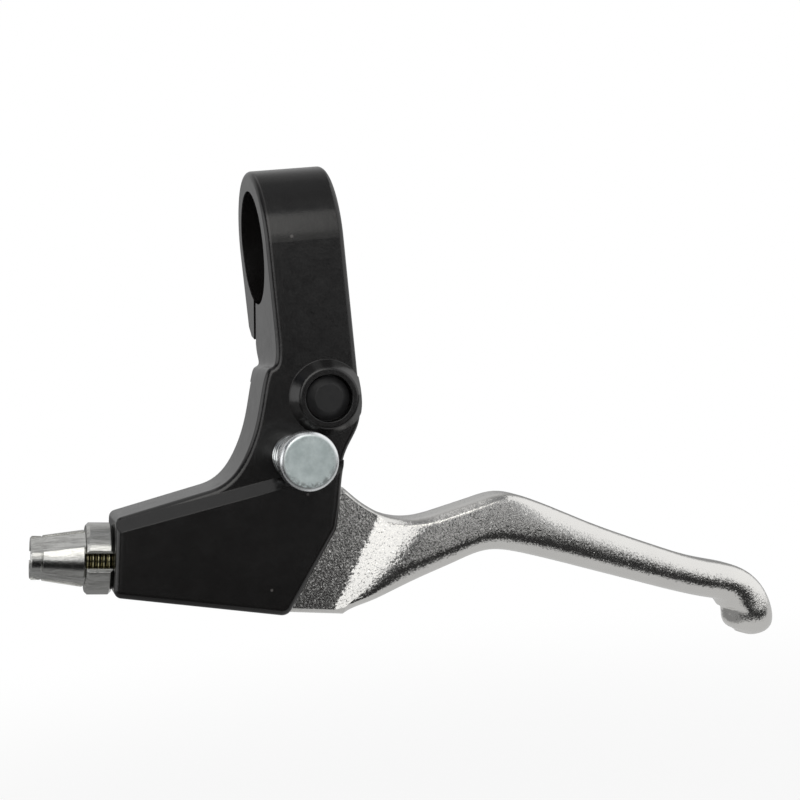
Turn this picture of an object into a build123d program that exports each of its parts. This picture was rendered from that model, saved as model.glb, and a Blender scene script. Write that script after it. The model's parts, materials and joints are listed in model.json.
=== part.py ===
"""Bicycle brake lever with parking lock, for a 22.2 mm handlebar.

Frame: the bar axis is X, the blade points to +X, the bracket hangs from the bar to -Z,
the button and the bolt head face -Y. Millimetres.
"""
import os
from math import atan2, cos, degrees, hypot, pi, radians, sin, sqrt

from build123d import *

os.makedirs("parts", exist_ok=True)

# Handlebar clamp
BAR_D = 22.2
BAND_WIDTH = 15.1
BAND_WALL = 3.8
SLIT_WIDTH = 1.9
SLIT_ANGLE = 27.6
SLIT_MID_Y = 6.25
SLIT_MID_DROP = 15.2
JAW_TAPER = 3.2
JAW_END_DROP = 18.3
EDGE_ROUND = 1.0
BACK_EDGE = 0.8
JAW_FOOT = 2.6
JAW_CORNER = 1.2

# Clamp bolt
BOLT_D = 5.0
BOLT_HEAD_D = 8.5
BOLT_HEAD_H = 5.0
BOLT_SOCKET_AF = 4.0
BOLT_SOCKET_DEPTH = 2.6
BOLT_LENGTH = 16.0
BOLT_SEAT = 5.6
BOLT_HOLE_CLEAR = 0.15
BOLT_HEAD_CLEAR = 0.35
BOLT_TIP_CLEAR = 0.8
BOLT_EDGE = 0.5

# Arm, pivot boss and housing
ARM_REAR = 0.0
PANEL_RAISE = 2.0
PANEL_ROUND = 1.3
PIVOT_X = 1.0
PIVOT_DROP = 30.0
BOSS_TOP_R = 5.7
BOSS_BASE_R = 7.3
BOSS_RAISE = 2.0
BOSS_ROUND = 0.6
REAR_BOSS_R = 6.2
REAR_BOSS_RAISE = 1.0
CABLE_ARM = 31.6
CABLE_TILT = 8.0
HOUSING_RUN = 38.9
HOUSING_ABOVE = 8.2
HOUSING_BELOW = 6.2
HEEL_RUN = 6.3
HEEL_BELOW = 9.8
HEEL_ROUND = 2.0
END_ROUND = 1.4
MOUTH_ROUND = 3.0
CABLE_SLOT = 2.2
FLOOR = 2.6
POCKET_RUN = 27.0
POCKET_ROOM = 0.8

# Lever
LEVER_Y = -7.4
ROOT_WIDTH = 9.5
NECK_WIDTH = 6.0
NECK_R = 18.0
SIDE_CLEAR = 0.3
SHOULDER_GAP = 0.35
EYE_R = 6.0
BLADE_WIDTH = 12.4
BLADE_CROWN = 0.9
SHOULDER_TILT = 10.2
SHOULDER_RUN = 16.0
RECESS_DEPTH = 1.35
RECESS_SLOPE = 5.2
RECESS_ANGLE = 58.0
RECESS_START = (3.0, -42.4)
NIPPLE_D = 7.2
NIPPLE_WALL = 2.0
NIPPLE_BACK = 7.7

# Blade stations from the shoulder to the tip: upper and lower point from the pivot, width share,
# and squareness of the section (2 is an ellipse)
BLADE = [
    ((2.4, -17.9), (-0.3, -42.3), 1.00, 7.0),
    ((6.2, -21.7), (5.0, -40.7), 1.00, 7.0),
    ((10.5, -24.4), (10.3, -39.1), 1.00, 6.5),
    ((16.2, -25.7), (16.0, -37.3), 1.00, 6.0),
    ((23.0, -24.9), (23.0, -35.4), 0.99, 5.5),
    ((29.5, -23.7), (28.9, -34.0), 0.98, 5.5),
    ((34.5, -23.1), (32.7, -34.2), 0.97, 5.5),
    ((40.4, -25.0), (37.3, -35.5), 0.97, 5.5),
    ((52.0, -31.1), (49.5, -40.1), 0.96, 5.0),
    ((66.9, -38.2), (64.6, -46.0), 0.93, 4.6),
    ((78.5, -42.8), (76.2, -50.2), 0.90, 4.0),
    ((86.5, -46.1), (80.3, -51.8), 0.88, 3.4),
    ((91.0, -51.9), (81.1, -53.2), 0.87, 2.8),
    ((91.7, -57.8), (81.7, -54.0), 0.86, 2.4),
]
SECTION_POINTS = 24
TIP_DEPTH = 3.9
TIP_STEPS = (30, 55, 75)

# Pivot bolt, bushes and nut
PIVOT_D = 6.0
PIVOT_HEAD_D = 8.4
PIVOT_HEAD_H = 2.3
PIVOT_HEAD_FLAT_D = 5.4
COUNTERBORE_D = 9.1
COUNTERBORE_DEPTH = 2.6
PIVOT_THREAD_D = 5.0
PIVOT_NUT_AF = 8.0
PIVOT_NUT_H = 3.6
PIVOT_RING_H = 1.5
PIVOT_TAIL = 0.8
PIVOT_NUT_LIP = 0.7
PIVOT_NUT_STEP = 0.2
PIVOT_RING_SINK = 0.3
BUSH_WALL = 1.0
BUSH_FLANGE_R = 4.9
BUSH_FLANGE = 0.8
BUSH_PROUD = 0.2
BUSH_APART = 0.6
RUN_CLEAR = 0.05

# Parking lock
LOCK_X = -7.7
LOCK_DROP = 10.2
BUTTON_D = 10.9
BUTTON_H = 3.4
BUTTON_ROUND = 0.9
BUTTON_EDGE = 0.4
BUTTON_STAND = 15.6
BUTTON_HUB_D = 5.0
BUTTON_HUB_H = 1.6
PIN_D = 2.6
PIN_SEAT = 1.6
PIN_EDGE = 0.4
STUB_D = 3.2
STUB_LENGTH = 4.0
STUB_BACK = 0.1
LOCK_TRAVEL = 3.5
LOCK_ANGLE = 26.0
POCKET_CLEAR = 0.3
POCKET_END_CLEAR = 0.5
SPRING_D = 8.5
SPRING_WIRE = 1.3
SPRING_TURNS = 5.5
SPRING_SIDES = 4

# Cable adjuster and lock nut
ADJUSTER_THREAD_D = 7.0
ADJUSTER_IN = 9.0
ADJUSTER_BIG_D = 10.7
ADJUSTER_END_D = 8.3
ADJUSTER_LENGTH = 10.0
ADJUSTER_COLLAR = 2.1
FLUTES = 3
FLUTE_WIDTH = 4.7
FLUTE_DEPTH = 0.8
FLUTE_TURN = 57.0
HOUSING_SOCKET_D = 5.1
HOUSING_SOCKET_DEPTH = 8.0
CABLE_HOLE_D = 2.4
ADJUSTER_SLOT = 1.8
NUT_D = 13.5
NUT_H = 4.8
NUT_SLOT = 2.7
NUT_SLOT_TURN = 2.0
NUT_SLOT_EDGE = 0.8
NUT_EDGE = 0.5

# Sizes that follow from the ones above
bar_r = BAR_D / 2
ring_r = bar_r + BAND_WALL
half_band = BAND_WIDTH / 2
arm_front = -ring_r
reach = 2 * (HOUSING_RUN + ADJUSTER_LENGTH + BLADE[-1][0][0])
panel_front = arm_front - PANEL_RAISE
boss_front = arm_front - BOSS_RAISE
pivot = (PIVOT_X, -PIVOT_DROP)
tilt = radians(CABLE_TILT)
foot = (PIVOT_X - CABLE_ARM * sin(tilt), -PIVOT_DROP - CABLE_ARM * cos(tilt))
root_front = LEVER_Y - ROOT_WIDTH / 2
root_rear = LEVER_Y + ROOT_WIDTH / 2
neck_front = root_rear - NECK_WIDTH
cavity_front = root_front - SIDE_CLEAR
cavity_rear = root_rear + SIDE_CLEAR
neck_cavity_front = neck_front - SIDE_CLEAR
lock = (PIVOT_X + LOCK_X, -PIVOT_DROP - LOCK_DROP)
lock_radius = hypot(LOCK_X, LOCK_DROP)
latch_depth = LOCK_TRAVEL - STUB_BACK - SIDE_CLEAR + POCKET_END_CLEAR


def cable_point(run, rise):
    """Point (x, z) from the foot of the cable line: run toward the housing end, rise toward the bar."""
    x = foot[0] - run * cos(tilt) + rise * sin(tilt)
    z = foot[1] + run * sin(tilt) + rise * cos(tilt)
    return (x, z)


def pivot_point(dx, dz):
    """Point (x, z) measured from the pivot axis."""
    return (pivot[0] + dx, pivot[1] + dz)


def xz_plane(y):
    """Drawing plane with local axes x and z, at depth y, facing -Y."""
    return Plane(origin=(0, y, 0), x_dir=(1, 0, 0), z_dir=(0, -1, 0))


def slab(face, front, rear):
    """Solid of a drawn x-z face between two depths."""
    return extrude(xz_plane(rear) * face, amount=rear - front)


def across(face, half):
    """Solid of a drawn y-z face to both sides of the bar clamp's middle."""
    return extrude(Plane.YZ.offset(-half) * face, amount=2 * half)


def rod_y(x, z, radius, front, rear):
    """Round solid along Y."""
    return slab(Pos(x, z) * Circle(radius), front, rear)


def polygon(points):
    """Face of straight lines through points."""
    return make_face(Polyline(*points, close=True))


def round_corner(face, point, radius):
    """The face with the corner nearest to a point rounded."""
    corner = face.vertices().sort_by_distance((point[0], point[1], 0))[0]
    return fillet(corner, radius)


# Bracket outline in the x-z plane
top = -2.0
heel = cable_point(HEEL_RUN, -HEEL_BELOW)
end_low = cable_point(HOUSING_RUN, -HOUSING_BELOW)
end_high = cable_point(HOUSING_RUN, HOUSING_ABOVE)
crown = cable_point(21.6, HOUSING_ABOVE + 5.5)
mouth_high = pivot_point(-1.0, -25.0)
right_start = (half_band, -PIVOT_DROP - 1.0)
left_start = (-half_band, -PIVOT_DROP + 13.8)

right_edge = Spline(
    right_start,
    pivot_point(5.5, -6.2),
    pivot_point(3.1, -10.0),
    pivot_point(1.3, -14.5),
    pivot_point(0.2, -20.0),
    mouth_high,
    tangents=[(0, -1), (-0.25, -1)],
)
left_edge = Spline(
    crown,
    pivot_point(-18.7, -11.9),
    pivot_point(-15.7, -7.5),
    pivot_point(-13.0, -0.4),
    pivot_point(-10.6, 6.5),
    left_start,
    tangents=[(crown[0] - end_high[0], crown[1] - end_high[1]), (0, 1)],
)
outline = make_face(
    Curve()
    + Line((-half_band, top), (half_band, top))
    + Line((half_band, top), right_start)
    + right_edge
    + Line(mouth_high, heel)
    + Line(heel, end_low)
    + Line(end_low, end_high)
    + Line(end_high, crown)
    + left_edge
    + Line(left_start, (-half_band, top))
)
outline = round_corner(outline, heel, HEEL_ROUND)
outline = round_corner(outline, end_low, END_ROUND)
outline = round_corner(outline, end_high, END_ROUND)
outline = round_corner(outline, mouth_high, MOUTH_ROUND)

# Clamp and arm seen along the bar (y, z)
slit_tilt = radians(SLIT_ANGLE)
slit_down = (sin(slit_tilt), -cos(slit_tilt))
slit_out = (cos(slit_tilt), sin(slit_tilt))


def slit_point(out, down):
    """Point (y, z) from the slit's middle: out toward the rear jaw, down along the slit."""
    y = SLIT_MID_Y + out * slit_out[0] + down * slit_down[0]
    z = -SLIT_MID_DROP + out * slit_out[1] + down * slit_down[1]
    return (y, z)


slit_low_front = slit_point(-SLIT_WIDTH / 2, 3.4)
jaw_taper = radians(JAW_TAPER)
jaw_top = (ring_r * cos(jaw_taper), -ring_r * sin(jaw_taper))
jaw_run = (JAW_END_DROP - JAW_FOOT + jaw_top[1]) / cos(jaw_taper)
jaw_low = (jaw_top[0] - jaw_run * sin(jaw_taper), jaw_top[1] - jaw_run * cos(jaw_taper))
jaw_section = polygon(
    [
        (0, 0),
        jaw_top,
        jaw_low,
        (jaw_low[0] - JAW_CORNER, jaw_low[1] - JAW_CORNER),
        slit_point(SLIT_WIDTH / 2 + 0.4, 3.6),
        slit_point(0, 3.6),
    ]
)


def lies_in(edge, axis, value):
    """True where the whole edge lies in the plane axis = value."""
    box = edge.bounding_box()
    low = {"x": box.min.X, "y": box.min.Y, "z": box.min.Z}[axis]
    high = {"x": box.max.X, "y": box.max.Y, "z": box.max.Z}[axis]
    return abs(low - value) < 0.02 and abs(high - value) < 0.02


# Bracket: clamp loop with its front leg and rear jaw
leg_low = left_start[1] + 1.0
leg_section = polygon([(0, 0), (arm_front, 0), (arm_front, leg_low), (ARM_REAR, leg_low)])
clamp = across(Circle(ring_r) + leg_section + jaw_section, half_band)
clamp_side = [e for e in clamp.edges() if lies_in(e, "x", half_band) or lies_in(e, "x", -half_band)]
clamp_rim = [e for e in clamp_side if e.geom_type == GeomType.CIRCLE and e.center().Z > -4]
clamp_rim += [e for e in clamp_side if e.geom_type == GeomType.LINE and lies_in(e, "y", arm_front)]
clamp_rim += [e for e in clamp_side if e.geom_type == GeomType.LINE and e.center().Y > jaw_low[0] - 1.0]
clamp = fillet(clamp_rim, EDGE_ROUND)

# Bracket: arm and housing
arm = slab(outline, arm_front, ARM_REAR)
arm_rim = [e for e in arm.edges() if lies_in(e, "y", arm_front) and not lies_in(e, "z", top)]
arm = fillet(arm_rim, EDGE_ROUND)
arm_back_rim = [e for e in arm.edges() if lies_in(e, "y", ARM_REAR) and not lies_in(e, "z", top)]
arm = chamfer(arm_back_rim, BACK_EDGE)

# Bracket: the arm's back slopes out to the slit
slope_low = (ARM_REAR, -PIVOT_DROP + 4.0)
slope_high = (slit_low_front[0] - 0.3, slit_low_front[1] - 1.2)
slope_section = make_face(
    Curve()
    + Spline(slope_low, slope_high, tangents=[(0.1, 1), (0.6, 1)])
    + Line(slope_high, slit_low_front)
    + Line(slit_low_front, slit_point(-SLIT_WIDTH / 2, -4))
    + Line(slit_point(-SLIT_WIDTH / 2, -4), (ARM_REAR - 3, top - 4))
    + Line((ARM_REAR - 3, top - 4), (ARM_REAR - 3, slope_low[1]))
    + Line((ARM_REAR - 3, slope_low[1]), slope_low)
)
slope = across(slope_section, reach) & slab(outline, ARM_REAR - 3, ring_r)

# Bracket: raised panel with a sloping upper border, and the pivot boss
panel_left = cable_point(HOUSING_RUN + 5, HOUSING_ABOVE - 3.9)
panel_right = cable_point(-8, HOUSING_ABOVE + 10.8)
panel_line = atan2(panel_right[1] - panel_left[1], panel_right[0] - panel_left[0])
panel_up = (-PANEL_RAISE * sin(panel_line), PANEL_RAISE * cos(panel_line))
border_left = (panel_left[0] + panel_up[0], panel_left[1] + panel_up[1])
border_right = (panel_right[0] + panel_up[0], panel_right[1] + panel_up[1])
panel_floor = pivot[1] - reach
panel_zone = polygon(
    [border_left, border_right, (border_right[0], panel_floor), (border_left[0], panel_floor)]
)
panel_root = arm_front + 2 * PANEL_ROUND + 0.4
panel = slab(outline & panel_zone, panel_front, panel_root)
border_plane = Plane(
    origin=(panel_left[0], 0, panel_left[1]),
    x_dir=(0, 1, 0),
    z_dir=(cos(panel_line), 0, sin(panel_line)),
)
border_cut = polygon(
    [
        (panel_front - 3, -3),
        (arm_front, PANEL_RAISE),
        (arm_front, PANEL_RAISE + 6),
        (panel_front - 3, PANEL_RAISE + 6),
    ]
)
panel -= extrude(border_plane * border_cut, amount=reach, both=True)
panel_rim = [e for e in panel.edges() if lies_in(e, "y", panel_front)]
panel_ridge = max(panel_rim, key=lambda e: e.length)
panel = fillet([e for e in panel_rim if e is not panel_ridge], PANEL_ROUND)

at_base = (Align.CENTER, Align.CENTER, Align.MIN)


def facing_front(x, y, z):
    """Plane at a point, its normal to -Y."""
    return Plane(origin=(x, y, z), x_dir=(1, 0, 0), z_dir=(0, -1, 0))


boss = facing_front(pivot[0], arm_front, pivot[1]) * Cone(BOSS_BASE_R, BOSS_TOP_R, BOSS_RAISE, align=at_base)
boss_rim = [e for e in boss.edges() if lies_in(e, "y", boss_front)]
boss = fillet(boss_rim, BOSS_ROUND)
boss = boss & slab(outline, boss_front - 1, ARM_REAR)
rear_boss = rod_y(pivot[0], pivot[1], REAR_BOSS_R, ARM_REAR - 1, ARM_REAR + REAR_BOSS_RAISE)
bracket = clamp + arm + slope + panel + boss + rear_boss

# Bracket: bar bore, slit and clamp bolt holes
slit = across(
    polygon(
        [
            slit_point(-SLIT_WIDTH / 2, -9),
            slit_point(SLIT_WIDTH / 2, -9),
            slit_point(SLIT_WIDTH / 2, 12),
            slit_point(-SLIT_WIDTH / 2, 12),
        ]
    ),
    half_band + 6,
)
bolt_seat = slit_point(BOLT_SEAT, 0)
bolt_plane = Plane(origin=(0, *bolt_seat), x_dir=(1, 0, 0), z_dir=(0, *slit_out))
at_top = (Align.CENTER, Align.CENTER, Align.MAX)
bolt_run = BOLT_SEAT - SLIT_WIDTH / 2
bracket -= across(Circle(bar_r), half_band + 1)
bracket -= slit & slab(Pos(0, -reach / 2) * Rectangle(reach, reach), -reach, reach)
bracket -= bolt_plane * Cylinder(BOLT_HEAD_D / 2 + BOLT_HEAD_CLEAR, BOLT_LENGTH, align=at_base)
bracket -= bolt_plane * Cylinder(BOLT_D / 2 + BOLT_HOLE_CLEAR, bolt_run + 0.5, align=at_top)
bracket -= bolt_plane * Cylinder(BOLT_D / 2 + RUN_CLEAR, BOLT_LENGTH + BOLT_TIP_CLEAR, align=at_top)

# Bracket: lever pocket, open toward the blade
room = EYE_R + POCKET_ROOM
pocket_right = half_band + 14
floor_rise = FLOOR - HOUSING_BELOW
floor_slope = (HEEL_BELOW - HOUSING_BELOW) / (HOUSING_RUN - HEEL_RUN)
floor_left = cable_point(POCKET_RUN, floor_rise - floor_slope * (HOUSING_RUN - POCKET_RUN))
floor_right = cable_point(-8, floor_rise - floor_slope * (HOUSING_RUN + 8))
pocket = Pos(*pivot) * Circle(room) + polygon(
    [
        (pocket_right, pivot[1] + room),
        (pivot[0], pivot[1] + room),
        pivot_point(-room, 0),
        pivot_point(-9.6, -4.6),
        pivot_point(-13.3, -7.6),
        pivot_point(-14.2, -13.2),
        cable_point(20, HOUSING_ABOVE + 2.6),
        cable_point(POCKET_RUN, HOUSING_ABOVE + 0.4),
        floor_left,
        floor_right,
        (pocket_right, floor_right[1]),
    ]
)
bracket -= slab(pocket, neck_cavity_front, cavity_rear)
bracket -= slab(pocket - Pos(*pivot) * Circle(NECK_R), cavity_front, cavity_rear)

# Bracket: pivot holes, lock pin holes, adjuster thread and cable slot
bracket -= rod_y(*pivot, COUNTERBORE_D / 2, -reach, boss_front + COUNTERBORE_DEPTH)
bracket -= rod_y(*pivot, PIVOT_D / 2 + RUN_CLEAR, boss_front, LEVER_Y)
bracket -= rod_y(*pivot, PIVOT_THREAD_D / 2 + RUN_CLEAR, LEVER_Y, reach)
stub_rear = neck_cavity_front - STUB_BACK
stub_front = stub_rear - STUB_LENGTH
bracket -= rod_y(*lock, STUB_D / 2 + RUN_CLEAR, stub_front - RUN_CLEAR, LEVER_Y)
bracket -= rod_y(*lock, PIN_D / 2 + RUN_CLEAR, -reach, LEVER_Y)
end_mid = cable_point(HOUSING_RUN, 0)
end_plane = Plane(
    origin=(end_mid[0], LEVER_Y, end_mid[1]),
    x_dir=(0, -1, 0),
    z_dir=(-cos(tilt), 0, sin(tilt)),
)
bracket -= end_plane * Cylinder(
    ADJUSTER_THREAD_D / 2 + RUN_CLEAR, HOUSING_RUN - POCKET_RUN + 1, align=at_top
)
cable_zone = polygon(
    [
        cable_point(HOUSING_RUN + 3, 0),
        cable_point(-12, 0),
        cable_point(-12, -25),
        cable_point(HOUSING_RUN + 3, -25),
    ]
)
bracket -= slab(cable_zone, LEVER_Y - CABLE_SLOT / 2, LEVER_Y + CABLE_SLOT / 2)

# Clamp bolt
clamp_bolt = bolt_plane * Cylinder(BOLT_HEAD_D / 2, BOLT_HEAD_H, align=at_base)
bolt_edges = [e for e in clamp_bolt.edges() if e.geom_type == GeomType.CIRCLE]
clamp_bolt = chamfer(max(bolt_edges, key=lambda e: e.center().Y), BOLT_EDGE)
clamp_bolt += bolt_plane * Cylinder(BOLT_D / 2, BOLT_LENGTH, align=at_top)
socket_plane = bolt_plane.offset(BOLT_HEAD_H - BOLT_SOCKET_DEPTH)
socket_hex = RegularPolygon(BOLT_SOCKET_AF / 2, 6, major_radius=False)
clamp_bolt -= extrude(socket_plane * socket_hex, amount=BOLT_SOCKET_DEPTH + 1)

# Lever: root plate, measured from the pivot
nipple = cable_point(NIPPLE_BACK, 0)
nipple_boss = NIPPLE_D / 2 + NIPPLE_WALL
stub_half = degrees(atan2(STUB_D / 2 + POCKET_CLEAR, lock_radius))
latch = radians(LOCK_ANGLE - stub_half)
latch_unit = (
    (LOCK_X * cos(latch) - LOCK_DROP * sin(latch)) / lock_radius,
    (-LOCK_X * sin(latch) - LOCK_DROP * cos(latch)) / lock_radius,
)
latch_in = pivot_point(latch_unit[0] * (lock_radius - 2.3), latch_unit[1] * (lock_radius - 2.3))
latch_out = pivot_point(latch_unit[0] * (lock_radius + 2.2), latch_unit[1] * (lock_radius + 2.2))
root = Pos(*pivot) * Circle(EYE_R) + Pos(*nipple) * Circle(nipple_boss)
root += polygon(
    [
        pivot_point(-EYE_R + 0.2, 1.2),
        latch_in,
        latch_out,
        pivot_point(-12.9, -13.0),
        pivot_point(-14.8, -20.0),
        (nipple[0] - nipple_boss, nipple[1]),
        (nipple[0], nipple[1] - nipple_boss),
        pivot_point(-4.0, -36.5),
        pivot_point(4.0, -37.0),
        pivot_point(6.5, -25.0),
        pivot_point(2.2, -19.0),
        pivot_point(0.6, -15.5),
        pivot_point(0.9, -12.5),
        pivot_point(2.6, -8.8),
        pivot_point(5.4, -2.6),
    ]
)
neck_edge = NECK_R + 0.4
lever_root = slab(root, neck_front, root_rear)
lever_root += slab(root - Pos(*pivot) * Circle(neck_edge), root_front, root_rear)

# Lever: blade, lofted through its stations


def blade_section(upper, lower, width_share, squareness, sink=0.0):
    """Rounded section between an upper and a lower point of the side view, sunk along the blade's way."""
    height = hypot(upper[0] - lower[0], upper[1] - lower[1])
    up = ((upper[0] - lower[0]) / height, (upper[1] - lower[1]) / height)
    middle = pivot_point((upper[0] + lower[0]) / 2, (upper[1] + lower[1]) / 2)
    plane = Plane(
        origin=(middle[0], LEVER_Y, middle[1]),
        x_dir=(0, 1, 0),
        z_dir=(up[1], 0, -up[0]),
    )
    points = []
    for step in range(SECTION_POINTS):
        turn = 2 * pi * step / SECTION_POINTS
        out = (abs(cos(turn)) ** squareness + abs(sin(turn)) ** squareness) ** (-1 / squareness)
        across_share = out * cos(turn)
        up_share = out * sin(turn)
        half_width = BLADE_WIDTH * width_share / 2 - BLADE_CROWN * width_share * up_share**2
        points.append((half_width * across_share, height / 2 * up_share))
    return plane.offset(sink) * make_face(Spline(*points, periodic=True))


def tip_section(turn):
    """Section of the tip's round end, at an angle from the last station."""
    upper, lower, width_share, squareness = BLADE[-1]
    middle = ((upper[0] + lower[0]) / 2, (upper[1] + lower[1]) / 2)
    size = cos(radians(turn))
    upper = (middle[0] + size * (upper[0] - middle[0]), middle[1] + size * (upper[1] - middle[1]))
    lower = (middle[0] + size * (lower[0] - middle[0]), middle[1] + size * (lower[1] - middle[1]))
    return blade_section(upper, lower, size * width_share, squareness, TIP_DEPTH * sin(radians(turn)))


blade = loft([blade_section(*station) for station in BLADE] + [tip_section(turn) for turn in TIP_STEPS])
shoulder_tilt = radians(SHOULDER_TILT)
shoulder_way = (-cos(shoulder_tilt), 0, sin(shoulder_tilt))
blade_end = blade.faces().sort_by(Axis.X)[0]
blade += extrude(blade_end, amount=SHOULDER_RUN, dir=shoulder_way)

# Lever: both sides slope down to the narrower root, left of a slanting line
recess_start = pivot_point(*RECESS_START)
recess_line = radians(RECESS_ANGLE)
recess_plane = Plane(
    origin=(recess_start[0], LEVER_Y, recess_start[1]),
    x_dir=(0, 1, 0),
    z_dir=(cos(recess_line), 0, sin(recess_line)),
)
for hand in (-1, 1):
    blade_side = hand * BLADE_WIDTH / 2
    depth = hand * RECESS_DEPTH
    recess = polygon(
        [
            (blade_side + depth, -RECESS_SLOPE),
            (blade_side - depth, RECESS_SLOPE),
            (blade_side - depth, reach),
            (blade_side + depth, reach),
        ]
    )
    blade -= extrude(recess_plane * recess, amount=reach, both=True)

# Lever: shoulder that stops on the bracket's mouth
mouth_run = hypot(heel[0] - mouth_high[0], heel[1] - mouth_high[1])
mouth_down = ((heel[0] - mouth_high[0]) / mouth_run, (heel[1] - mouth_high[1]) / mouth_run)
mouth_out = (-mouth_down[1], mouth_down[0])


def mouth_point(down, out):
    """Point (x, z) from the mouth's upper corner, along the mouth and out of it."""
    x = mouth_high[0] + down * mouth_down[0] + out * mouth_out[0]
    z = mouth_high[1] + down * mouth_down[1] + out * mouth_out[1]
    return (x, z)


gap_x = SHOULDER_GAP / mouth_out[0]
cut_low = mouth_point(mouth_run + 12, SHOULDER_GAP)
shoulder_cut = make_face(
    Curve()
    + Pos(gap_x, 0) * right_edge
    + Line((mouth_high[0] + gap_x, mouth_high[1]), cut_low)
    + Line(cut_low, (cut_low[0] - reach, cut_low[1]))
    + Line((cut_low[0] - reach, cut_low[1]), (cut_low[0] - reach, right_start[1]))
    + Line((cut_low[0] - reach, right_start[1]), (right_start[0] + gap_x, right_start[1]))
)
blade -= slab(shoulder_cut, -reach, reach)
lever = lever_root + blade

# Lever: bush seats, cable end seat with its slot, and the lock's latch seat
bush_r = PIVOT_D / 2 + RUN_CLEAR + BUSH_WALL
bush_sink = BUSH_FLANGE - BUSH_PROUD
lever -= rod_y(*pivot, bush_r, -reach, reach)
lever -= rod_y(*pivot, BUSH_FLANGE_R + RUN_CLEAR, -reach, neck_front + bush_sink)
lever -= rod_y(*pivot, BUSH_FLANGE_R + RUN_CLEAR, root_rear - bush_sink, reach)
lever -= rod_y(*nipple, NIPPLE_D / 2, -reach, reach)
slot_zone = polygon(
    [
        nipple,
        (nipple[0] - 14, nipple[1] - 2.5),
        (nipple[0] - 14, nipple[1] + 12),
        (nipple[0] - 5, nipple[1] + 8),
    ]
)
lever -= slab(slot_zone, LEVER_Y - CABLE_SLOT / 2, LEVER_Y + CABLE_SLOT / 2)
lever -= rod_y(*lock, STUB_D / 2 + POCKET_CLEAR, -reach, neck_front + latch_depth)

# Pivot bolt, nut and bushes
head_rear = boss_front + COUNTERBORE_DEPTH
head_plane = facing_front(pivot[0], head_rear, pivot[1])
head_cone = PIVOT_HEAD_H * 0.4
pivot_bolt = head_plane * Cylinder(PIVOT_HEAD_D / 2, PIVOT_HEAD_H - head_cone, align=at_base)
pivot_bolt += head_plane.offset(PIVOT_HEAD_H - head_cone) * Cone(
    PIVOT_HEAD_D / 2, PIVOT_HEAD_FLAT_D / 2, head_cone, align=at_base
)
nut_face = ARM_REAR + REAR_BOSS_RAISE
bolt_end = nut_face + PIVOT_NUT_H + PIVOT_RING_H + PIVOT_TAIL
pivot_bolt += rod_y(*pivot, PIVOT_D / 2, head_rear, cavity_rear)
pivot_bolt += rod_y(*pivot, PIVOT_THREAD_D / 2, cavity_rear, bolt_end)
tail_edge = max(pivot_bolt.edges(), key=lambda e: e.center().Y)
pivot_bolt = chamfer(tail_edge, BOLT_EDGE)

nut_hex = Pos(*pivot) * RegularPolygon(PIVOT_NUT_AF / 2, 6, major_radius=False)
collar_r = PIVOT_NUT_AF / 2 - PIVOT_NUT_STEP
ring_r_out = collar_r - PIVOT_NUT_LIP
nut_top = nut_face + PIVOT_NUT_H + PIVOT_RING_H
pivot_nut = slab(nut_hex, nut_face, nut_face + PIVOT_NUT_H)
pivot_nut += rod_y(*pivot, collar_r, nut_face + PIVOT_NUT_H, nut_top)
pivot_nut -= rod_y(*pivot, PIVOT_THREAD_D / 2 + RUN_CLEAR, nut_face - 1, nut_top + 1)
pivot_nut -= rod_y(*pivot, ring_r_out, nut_face + PIVOT_NUT_H, nut_top + 1)
pivot_nut_ring = rod_y(*pivot, ring_r_out, nut_face + PIVOT_NUT_H, nut_top - PIVOT_RING_SINK)
pivot_nut_ring -= rod_y(*pivot, PIVOT_THREAD_D / 2 + RUN_CLEAR, nut_face, nut_top + 1)

bush_bore = PIVOT_D / 2 + RUN_CLEAR
bush_length = (NECK_WIDTH - BUSH_APART) / 2
bushing_front = rod_y(*pivot, bush_r, neck_front + bush_sink, neck_front + bush_length)
bushing_front += rod_y(*pivot, BUSH_FLANGE_R, neck_front - BUSH_PROUD, neck_front + bush_sink)
bushing_front -= rod_y(*pivot, bush_bore, -reach, reach)
bushing_rear = rod_y(*pivot, bush_r, root_rear - bush_length, root_rear - bush_sink)
bushing_rear += rod_y(*pivot, BUSH_FLANGE_R, root_rear - bush_sink, root_rear + BUSH_PROUD)
bushing_rear -= rod_y(*pivot, bush_bore, -reach, reach)

# Parking lock: pin, button and spring
button_front = arm_front - BUTTON_STAND
button_rear = button_front + BUTTON_H
pin_front = button_front + PIN_SEAT
lock_pin = rod_y(*lock, STUB_D / 2, stub_front, stub_rear)
stub_edge = max(lock_pin.edges(), key=lambda e: e.center().Y)
lock_pin = chamfer(stub_edge, PIN_EDGE)
lock_pin += rod_y(*lock, PIN_D / 2, pin_front, stub_front)
lock_button = rod_y(*lock, BUTTON_D / 2, button_front, button_rear)
lock_button = fillet([e for e in lock_button.edges() if lies_in(e, "y", button_front)], BUTTON_ROUND)
lock_button = chamfer([e for e in lock_button.edges() if lies_in(e, "y", button_rear)], BUTTON_EDGE)
lock_button += rod_y(*lock, BUTTON_HUB_D / 2, button_rear - 0.5, button_rear + BUTTON_HUB_H)
lock_button -= rod_y(*lock, PIN_D / 2, pin_front, 0)
spring_height = arm_front - button_rear - SPRING_WIRE
spring_r = (SPRING_D - SPRING_WIRE) / 2
spring_path = Helix(pitch=spring_height / SPRING_TURNS, height=spring_height, radius=spring_r)
spring_start = Plane(origin=spring_path @ 0, x_dir=(1, 0, 0), z_dir=spring_path % 0)
spring_wire = sweep(spring_start * RegularPolygon(SPRING_WIRE / 2, SPRING_SIDES), path=spring_path)
lock_spring = facing_front(lock[0], arm_front - SPRING_WIRE / 2, lock[1]) * spring_wire

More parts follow.
